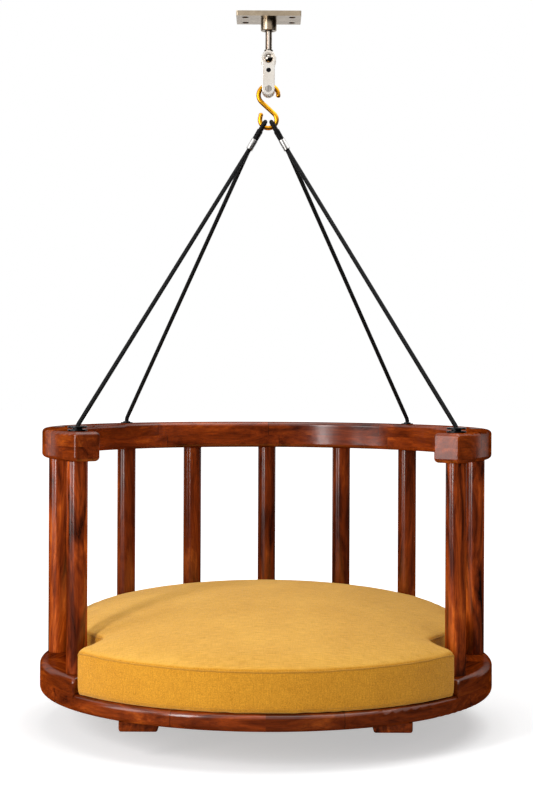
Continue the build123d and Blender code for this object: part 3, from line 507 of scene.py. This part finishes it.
def mustard_weave(name="mustard_weave", shade=1.0):
    """Plain-woven cloth with slubs, laid flat on the top panel and wrapped round the border. The
    top panel is coloured paler than the border as painted light; a shade below one darkens the
    whole cloth as painted shade.
    """
    shader = Shader(name)
    place = shader.place()
    x, y, z = shader.split(place)
    top = shader.spread(shader.math("ABSOLUTE", shader.normal()[2]), 0.55, 0.80)
    side = shader.math("SUBTRACT", 1.0, top)
    toward = shader.math("SUBTRACT", y, SEAT_Y)
    round_seat = shader.times(shader.math("ARCTAN2", x, toward), WRAP_RADIUS)
    warp = shader.products(top, x, side, round_seat)
    weft = shader.products(top, y, side, z)
    thread = 2 * math.pi / WEAVE_PITCH
    across = shader.math("SINE", shader.times(warp, thread))
    over = shader.times(across, shader.math("SINE", shader.times(weft, thread)))
    warpwise = shader.join(shader.times(warp, 0.06), weft, 0.0)
    slub_along = shader.noise(warpwise, scale=560.0, detail=4.0, rough=0.7)
    weftwise = shader.join(warp, shader.times(weft, 0.10), 3.0)
    slub_up = shader.noise(weftwise, scale=460.0, detail=4.0, rough=0.7)
    share = shader.spread(top, low=0.0, high=1.0, to_low=0.38, to_high=0.72)
    slubs = shader.products(slub_along, share, slub_up, shader.math("SUBTRACT", 1.0, share))
    cloud = shader.noise(place, scale=9.0, detail=4.0, rough=0.6)
    tone = shader.sway(cloud, middle=0.5, amount=0.20, base=slubs)
    mottle = shader.noise(place, scale=380.0, detail=4.0, rough=0.7)
    mottled = shader.math("MULTIPLY_ADD", tone, 0.45, shader.times(mottle, 0.55))
    border = shader.ramp(mottled, (0.38, BORDER_DARK), (0.60, BORDER_LIGHT))
    # Painted light: upward faces take the paler top colours.
    panel = shader.ramp(tone, (0.38, PAINTED_LIT_TOP_DEEP), (0.60, PAINTED_LIT_TOP_PALE))
    colour = shader.mix(top, border, panel)
    # Painted shade: the whole cloth darkened, used for the seam cords.
    if shade != 1.0:
        colour = shader.tinted(colour, grey(shade))
    fibre = shader.noise(place, scale=2600.0, detail=2.0)
    soft = shader.noise(place, scale=16.0)
    threads = shader.math("MULTIPLY_ADD", over, 0.35, shader.times(fibre, 0.3))
    relief = shader.math("MULTIPLY_ADD", slubs, 1.6, threads)
    dents = shader.bump(soft, distance=0.004, strength=0.35)
    return shader.surface(
        Base_Color=colour,
        Roughness=0.9,
        Normal=shader.bump(relief, distance=0.0007, strength=0.6, below=dents),
        Sheen_Weight=0.12,
        Sheen_Roughness=0.5,
        Specular_IOR_Level=0.12,
    )


# ------------------------------------------------------------------ materials on the CAD nodes
def paint(material, *nodes):
    for node in nodes:
        mesh_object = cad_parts[node]
        if not mesh_object.material_slots:
            mesh_object.data.materials.append(material)
        for material_slot in mesh_object.material_slots:
            material_slot.material = material


CHAMPAGNE_DARK = (0.29, 0.225, 0.155)
CHAMPAGNE_LIGHT = (0.40, 0.325, 0.235)
# Painted light: upright champagne faces coloured a quarter lighter than the flat ones.
CHAMPAGNE_PAINTED_FACE_LIGHT = 1.25

champagne = satin_metal("champagne_satin_painted_face_light", CHAMPAGNE_DARK, CHAMPAGNE_LIGHT, CHAMPAGNE_PAINTED_FACE_LIGHT)
plate_finish = satin_metal(
    "champagne_plate_painted_hole_shade", CHAMPAGNE_DARK, CHAMPAGNE_LIGHT, CHAMPAGNE_PAINTED_FACE_LIGHT, shade_countersinks=True)
weave = mustard_weave()
# Painted shade: the back posts toned darker.
back_posts = post_wood("sheesham_back_posts_painted_shade", figured=0.55, tone=0.85)

SLOT_MATERIALS = {
    "satin_nickel": satin_metal("satin_nickel", (0.90, 0.81, 0.71), (0.99, 0.95, 0.88)),
    "bearing_steel": plain_metal(
        "bearing_steel", (0.55, 0.55, 0.56, 1), smoothest=0.10, roughest=0.2),
    "polished_steel": polished_steel(),
    "black_steel": plain_metal(
        "black_steel", (0.018, 0.018, 0.019, 1), smoothest=0.28, roughest=0.45),
    "black_plastic": black_plastic(),
    "hook_brass": hook_brass(),
    "black_rope": braided_rope(),
    "stainless_sleeve": ferrule_steel(),
    "zinc_steel": plain_metal(
        "zinc_steel", (0.62, 0.58, 0.46, 1), smoothest=0.25, roughest=0.45),
    # Painted light: the front and side posts toned lighter.
    "lacquered_sheesham": post_wood("sheesham_posts_painted_light", figured=0.8, tone=1.35),
    "seat_board": seat_board(),
    "mustard_weave": weave,
}
for node_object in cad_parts.values():
    for material_slot in node_object.material_slots:
        plain_name = material_slot.material.name.split(".")[0] if material_slot.material else ""
        if plain_name in SLOT_MATERIALS:
            material_slot.material = SLOT_MATERIALS[plain_name]

paint(ring_wood("sheesham_rail_upper", 38.0, -37.5, seed=5.2), "rail_upper")
paint(ring_wood("sheesham_rail_lower", 38.0, -34.0, seed=7.9), "rail_lower")
paint(ring_wood("sheesham_rim", 40.0, 21.0, seed=4.4, tone=0.72), "base_rim")
paint(ring_wood("sheesham_ring", 40.0, -158.0, seed=9.7, tone=0.80), "base_ring")
paint(batten_wood(), "batten_left", "batten_right")
paint(back_posts, "post_back_centre", "post_back_inner_left", "post_back_inner_right")
paint(back_posts, "post_back_outer_left", "post_back_outer_right")
paint(champagne, "bearing_collar")
paint(plate_finish, "ceiling_plate")
paint(rod_steel(), "swivel_rod")

# ------------------------------------------------------------------ cushion
CUSHION_VOXEL = 0.009
CUSHION_SWELL = 0.006
RIM_CLEARANCE = 0.0012
EAR_ANGLE = math.radians(51.935)
BODY_RADIUS = 0.455
FRONT_RADIUS = 0.527
EAR_ROUND = 0.009
NOTCH_ROUND = 0.012
UNDERSIDE_DEPTH = 0.002
RIM_MARGIN = 0.006
CLOTH_FRAMES = 20
CLOTH_PRESSURE = 4.0
CLOTH_STIFFNESS = 30
CLOTH_BENDING = 6
CLOTH_QUALITY = 4

TUBE_SIDES = 8
CORNER_STEPS = 6
CORNER_REACH = 0.05
OUTLINE_SPACING = 0.008


def add_mesh(name, vertices, faces, material):
    mesh = bpy.data.meshes.new(name)
    mesh.from_pydata([tuple(vertex) for vertex in vertices], [], faces)
    mesh.update()
    mesh.materials.append(material)
    for polygon in mesh.polygons:
        polygon.use_smooth = True
    made = bpy.data.objects.new(name, mesh)
    bpy.context.collection.objects.link(made)
    return made


def tube(name, path, radius, material):
    """Closed round tube along a closed path."""
    vertices, faces = [], []
    count = len(path)
    for place in range(count):
        run = (path[(place + 1) % count] - path[place - 1]).normalized()
        outward = run.cross(UP).normalized()
        upward = outward.cross(run)
        for step in range(TUBE_SIDES):
            turn = 2 * math.pi * step / TUBE_SIDES
            spoke = outward * math.cos(turn) + upward * math.sin(turn)
            vertices.append(path[place] + spoke * radius)
    for place in range(count):
        here, after = place * TUBE_SIDES, (place + 1) % count * TUBE_SIDES
        for step in range(TUBE_SIDES):
            beside = (step + 1) % TUBE_SIDES
            faces.append((here + step, here + beside, after + beside, after + step))
    return add_mesh(name, vertices, faces, material)


def plan_point(radius, angle):
    """Place in plan, by its angle from the open front of the seat, positive towards +X."""
    return Vector((radius * math.sin(angle), SEAT_Y - radius * math.cos(angle)))


def arc_points(radius, start, sweep, trim):
    """Points on an arc, without its ends and without an angle of trim at each of them."""
    steps = round(sweep * radius / OUTLINE_SPACING)
    angles = [start + sweep * step / steps for step in range(1, steps)]
    return [plan_point(radius, angle) for angle in angles if trim < angle - start < sweep - trim]


def rounded_corner(before, corner, after, radius):
    start = corner + (before - corner).normalized() * radius
    end = corner + (after - corner).normalized() * radius
    points = []
    for step in range(CORNER_STEPS + 1):
        share = step / CORNER_STEPS
        points.append(start.lerp(corner, share).lerp(corner.lerp(end, share), share))
    return points


def cushion_outline():
    """Plan of the cushion: a wide front arc, two ears and the body behind the front posts."""
    ear_right = plan_point(FRONT_RADIUS, EAR_ANGLE)
    ear_left = plan_point(FRONT_RADIUS, -EAR_ANGLE)
    notch_right = plan_point(BODY_RADIUS, EAR_ANGLE)
    notch_left = plan_point(BODY_RADIUS, -EAR_ANGLE)
    front_right = plan_point(FRONT_RADIUS, EAR_ANGLE - CORNER_REACH)
    front_left = plan_point(FRONT_RADIUS, -EAR_ANGLE + CORNER_REACH)
    body_right = plan_point(BODY_RADIUS, EAR_ANGLE + CORNER_REACH)
    body_left = plan_point(BODY_RADIUS, -EAR_ANGLE - CORNER_REACH)
    body_sweep = 2 * math.pi - 2 * EAR_ANGLE
    return (
        arc_points(FRONT_RADIUS, -EAR_ANGLE, 2 * EAR_ANGLE, EAR_ROUND / FRONT_RADIUS)
        + rounded_corner(front_right, ear_right, notch_right, EAR_ROUND)
        + rounded_corner(ear_right, notch_right, body_right, NOTCH_ROUND)
        + arc_points(BODY_RADIUS, EAR_ANGLE, body_sweep, NOTCH_ROUND / BODY_RADIUS)
        + rounded_corner(body_left, notch_left, ear_left, NOTCH_ROUND)
        + rounded_corner(notch_left, ear_left, front_left, EAR_ROUND)
    )


def blow_up(made):
    """Cloth simulation under pressure, without gravity, applied to the mesh."""
    cloth = made.modifiers.new("cloth", "CLOTH")
    cloth.settings.use_pressure = True
    cloth.settings.uniform_pressure_force = CLOTH_PRESSURE
    cloth.settings.effector_weights.gravity = 0.0
    cloth.settings.quality = CLOTH_QUALITY
    cloth.settings.tension_stiffness = CLOTH_STIFFNESS
    cloth.settings.compression_stiffness = CLOTH_STIFFNESS
    cloth.settings.bending_stiffness = CLOTH_BENDING
    cloth.collision_settings.use_collision = False
    cloth.point_cache.frame_start = 1
    cloth.point_cache.frame_end = CLOTH_FRAMES
    for frame_number in range(1, CLOTH_FRAMES + 1):
        bpy.context.scene.frame_set(frame_number)
    bpy.ops.object.modifier_apply(modifier="cloth")
    bpy.context.scene.frame_set(1)


def held_in(start, blown):
    """Where a vertex ends: swollen only a little, clear of the rim and flat where it rests."""
    moved = blown - start
    if moved.length > CUSHION_SWELL:
        moved *= CUSHION_SWELL / moved.length
    place = start + moved
    out = Vector((place.x, place.y - SEAT_Y))
    heading = abs(math.atan2(out.x, -out.y))
    if heading > EAR_ANGLE + NOTCH_ROUND / BODY_RADIUS:
        beside_rim = place.z < RIM_TOP + RIM_MARGIN
        limit = BODY_RADIUS + (RIM_CLEARANCE if beside_rim else CUSHION_SWELL)
        if out.length > limit:
            out *= limit / out.length
            place.x, place.y = out.x, out.y + SEAT_Y
    place.z = max(place.z, CUSHION_BASE)
    if start.z < CUSHION_BASE + UNDERSIDE_DEPTH:
        place.z = CUSHION_BASE
    return place


def stuffed_cushion():
    """The cushion's solid as a cloth skin, blown up a little and pulled back where it rests."""
    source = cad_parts["cushion"]
    mesh = bpy.data.meshes.new("cushion_skin")
    made = bpy.data.objects.new("cushion_cover", mesh)
    form = bmesh.new()
    form.from_mesh(source.data)
    form.to_mesh(mesh)
    form.free()
    bpy.context.collection.objects.link(made)
    bpy.context.view_layer.objects.active = made
    remesh = made.modifiers.new("remesh", "REMESH")
    remesh.mode = "VOXEL"
    remesh.voxel_size = CUSHION_VOXEL
    bpy.ops.object.modifier_apply(modifier="remesh")
    rest = [vertex.co.copy() for vertex in made.data.vertices]
    blow_up(made)
    for vertex, start in zip(made.data.vertices, rest):
        vertex.co = held_in(start, vertex.co)
    smooth = made.modifiers.new("smooth", "SMOOTH")
    smooth.factor = 0.5
    smooth.iterations = 3
    bpy.ops.object.modifier_apply(modifier="smooth")
    finer = made.modifiers.new("finer", "SUBSURF")
    finer.levels = 1
    finer.render_levels = 1
    bpy.ops.object.modifier_apply(modifier="finer")
    made.data.materials.clear()
    made.data.materials.append(weave)
    for polygon in made.data.polygons:
        polygon.use_smooth = True
    return made


cushion_cover = stuffed_cushion()
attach(cushion_cover, "seat")
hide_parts("cushion")

skin = BVHTree.FromObject(cushion_cover, bpy.context.evaluated_depsgraph_get())
outline = cushion_outline()

EDGE_PROBE_INSET = 0.014
SEAM_INSET = 0.006
SEAM_BELOW_EDGE = 0.004
SEAM_SINK = 0.002
BOTTOM_SEAM_HEIGHT = 0.009
PROBE_REACH = 0.08
SEAM_LIFT = 0.0001


def seam_path(rise, at_top):
    """Points on the skin along the outline, found from outside at a slope, at one edge."""
    path = []
    count = len(outline)
    for place in range(count):
        run = (outline[(place + 1) % count] - outline[place - 1]).normalized()
        outward = Vector((run.y, -run.x, 0))
        point = Vector((outline[place].x, outline[place].y, 0))
        if at_top:
            edge = skin.ray_cast(point - outward * EDGE_PROBE_INSET + UP, -UP)[0]
            level = edge.z - SEAM_BELOW_EDGE - SEAM_SINK
        else:
            level = CUSHION_BASE + BOTTOM_SEAM_HEIGHT
        target = point - outward * SEAM_INSET + Vector((0, 0, level))
        slope = (outward * math.cos(rise) + Vector((0, 0, math.sin(rise)))).normalized()
        hit, normal, _, _ = skin.ray_cast(target + slope * PROBE_REACH, -slope)
        path.append(hit + normal * SEAM_LIFT)
    return [
        (path[place - 1] + path[place] * 2 + path[(place + 1) % count]) / 4
        for place in range(count)
    ]


# The seam cords use cloth darkened by painted shade.
seam_cloth = mustard_weave("mustard_seam_painted_shade", SEAM_PAINTED_SHADE)
# Name, slope of the search from outside, at the top edge or not, and radius of the cord.
for seam_name, rise, at_top, radius in (
    ("cushion_top_seam", math.radians(38), True, 0.0013),
    ("cushion_top_stitch", math.radians(64), True, 0.0006),
    ("cushion_bottom_seam", 0.0, False, 0.0007),
):
    seam = tube(seam_name, seam_path(rise, at_top), radius, seam_cloth)
    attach(seam, "seat")

# ------------------------------------------------------------------ camera
PHOTO_HEIGHT = 800
FOCAL_PIXELS = 1659.24
HORIZON_ABOVE_CENTRE = 26.43
AXIS_RIGHT_OF_CENTRE = 0.7
CAMERA_ROLL = math.radians(-0.25)
CAMERA_PLACE = (0, -3.9194, -0.8469)
SENSOR_HEIGHT = 24

camera_data = bpy.data.cameras.new("camera")
camera_data.sensor_fit = "VERTICAL"
camera_data.sensor_height = SENSOR_HEIGHT
camera_data.lens = SENSOR_HEIGHT * FOCAL_PIXELS / PHOTO_HEIGHT
camera_data.shift_x = -AXIS_RIGHT_OF_CENTRE / PHOTO_HEIGHT
camera_data.shift_y = -HORIZON_ABOVE_CENTRE / PHOTO_HEIGHT
camera = bpy.data.objects.new("camera", camera_data)
bpy.context.collection.objects.link(camera)
camera.location = CAMERA_PLACE
camera.rotation_euler = (math.radians(90), CAMERA_ROLL, 0)
bpy.context.scene.camera = camera

# ------------------------------------------------------------------ floor and light
FLOOR_LEVEL = -1.660
FLOOR_SIZE = 60
FLOOR_GREY = 0.80
GLOW_NEAR = 0.45
GLOW_FAR = 0.95
GLOW_NEAR_RADIUS = 0.6
GLOW_FAR_RADIUS = 2.2
SOFT_LIGHT = 0.26
CARD_GLOW = 0.012
CARD_ABOVE_FLOOR = 0.006
UPRIGHT = math.radians(90)
SEAT_MIDDLE = (0, 0, -1.25)


def seen_directly(shader):
    """1 for rays that the camera, a reflection or a glass sends to the background."""
    rays = shader.node("ShaderNodeLightPath").outputs
    direct = shader.math("MAXIMUM", rays["Is Camera Ray"], rays["Is Glossy Ray"])
    return shader.math("MAXIMUM", direct, rays["Is Transmission Ray"])


def shadow_floor():
    """Pale floor that fades to white away from the object, and keeps its shadow."""
    shader = Shader("pale_floor")
    x, y, _ = shader.split(shader.place())
    away = shader.vector("LENGTH", shader.join(x, y, 0.0))["Value"]
    fade = shader.spread(away, GLOW_NEAR_RADIUS, GLOW_FAR_RADIUS, GLOW_NEAR, GLOW_FAR)
    glow = shader.times(fade, seen_directly(shader))
    lit = shader.node("ShaderNodeBsdfDiffuse", {"Color": grey(FLOOR_GREY)})
    lifted = shader.node("ShaderNodeEmission", {"Color": grey(1), "Strength": glow})
    both = shader.node("ShaderNodeAddShader", {0: lit.outputs[0], 1: lifted.outputs[0]})
    shader.feed(shader.output.inputs["Surface"], both.outputs[0])
    return shader.material


bpy.ops.mesh.primitive_plane_add(size=FLOOR_SIZE, location=(0, 0, FLOOR_LEVEL))
floor = bpy.context.object
floor.name = "floor"
floor.data.materials.append(shadow_floor())

world = bpy.data.worlds.new("studio")
bpy.context.scene.world = world
world.use_nodes = True
sky = world.node_tree
sky.nodes.clear()
rays = sky.nodes.new("ShaderNodeLightPath")
soft = sky.nodes.new("ShaderNodeBackground")
white = sky.nodes.new("ShaderNodeBackground")
for background, strength in ((soft, SOFT_LIGHT), (white, 1.0)):
    background.inputs["Strength"].default_value = strength
    background.inputs["Color"].default_value = grey(1)
previous = rays.outputs["Is Camera Ray"]
for kind in ("Is Glossy Ray", "Is Transmission Ray"):
    either = sky.nodes.new("ShaderNodeMath")
    either.operation = "MAXIMUM"
    sky.links.new(previous, either.inputs[0])
    sky.links.new(rays.outputs[kind], either.inputs[1])
    previous = either.outputs[0]
choose = sky.nodes.new("ShaderNodeMixShader")
sky.links.new(previous, choose.inputs[0])
sky.links.new(soft.outputs[0], choose.inputs[1])
sky.links.new(white.outputs[0], choose.inputs[2])
world_output = sky.nodes.new("ShaderNodeOutputWorld")
sky.links.new(choose.outputs[0], world_output.inputs["Surface"])


def softbox(name, place, target, width, height, watts):
    lamp = bpy.data.lights.new(name, "AREA")
    lamp.shape = "RECTANGLE"
    lamp.size = width
    lamp.size_y = height
    lamp.energy = watts
    lamp_object = bpy.data.objects.new(name, lamp)
    bpy.context.collection.objects.link(lamp_object)
    lamp_object.location = place
    aim = Vector(target) - Vector(place)
    lamp_object.rotation_euler = aim.to_track_quat("-Z", "Y").to_euler()
    return lamp_object


softbox("key", (-2.3, -2.85, -0.2), SEAT_MIDDLE, width=0.7, height=2.4, watts=80)
softbox("far_left", (-3.2, -1.3, -0.4), SEAT_MIDDLE, width=1.3, height=2.2, watts=38)
fill = softbox("fill", (3.4, -2.2, 0.0), SEAT_MIDDLE, width=0.9, height=2.4, watts=10)
fill.visible_glossy = False
softbox("overhead", (0.7, -0.1, 1.6), (0.15, 0, -1.25), width=3.2, height=3.2, watts=64)


def dark_card(name, width, height, place, turn):
    """Nearly black card that only reflections see, so that white doesn't veil the lacquer."""
    bpy.ops.mesh.primitive_plane_add(size=1, location=place, rotation=turn)
    card = bpy.context.object
    card.name = name
    card.scale = (width, height, 1)
    shader = Shader(name)
    glow = shader.node("ShaderNodeEmission", {"Color": grey(1), "Strength": CARD_GLOW})
    shader.feed(shader.output.inputs["Surface"], glow.outputs[0])
    card.data.materials.append(shader.material)
    card.visible_camera = False
    card.visible_diffuse = False
    card.visible_shadow = False
    card.visible_transmission = False


dark_card("card_low", 12, 9.0, (0, -0.5, FLOOR_LEVEL + CARD_ABOVE_FLOOR), (0, 0, 0))
dark_card("card_behind", 14, 1.9, (0, -4.8, -0.7), (UPRIGHT, 0, 0))
dark_card("card_left", 2.9, 9.0, (-4.7, -0.6, -0.18), (0, UPRIGHT, 0))
dark_card("card_right", 2.9, 9.0, (4.7, -0.6, -0.18), (0, UPRIGHT, 0))
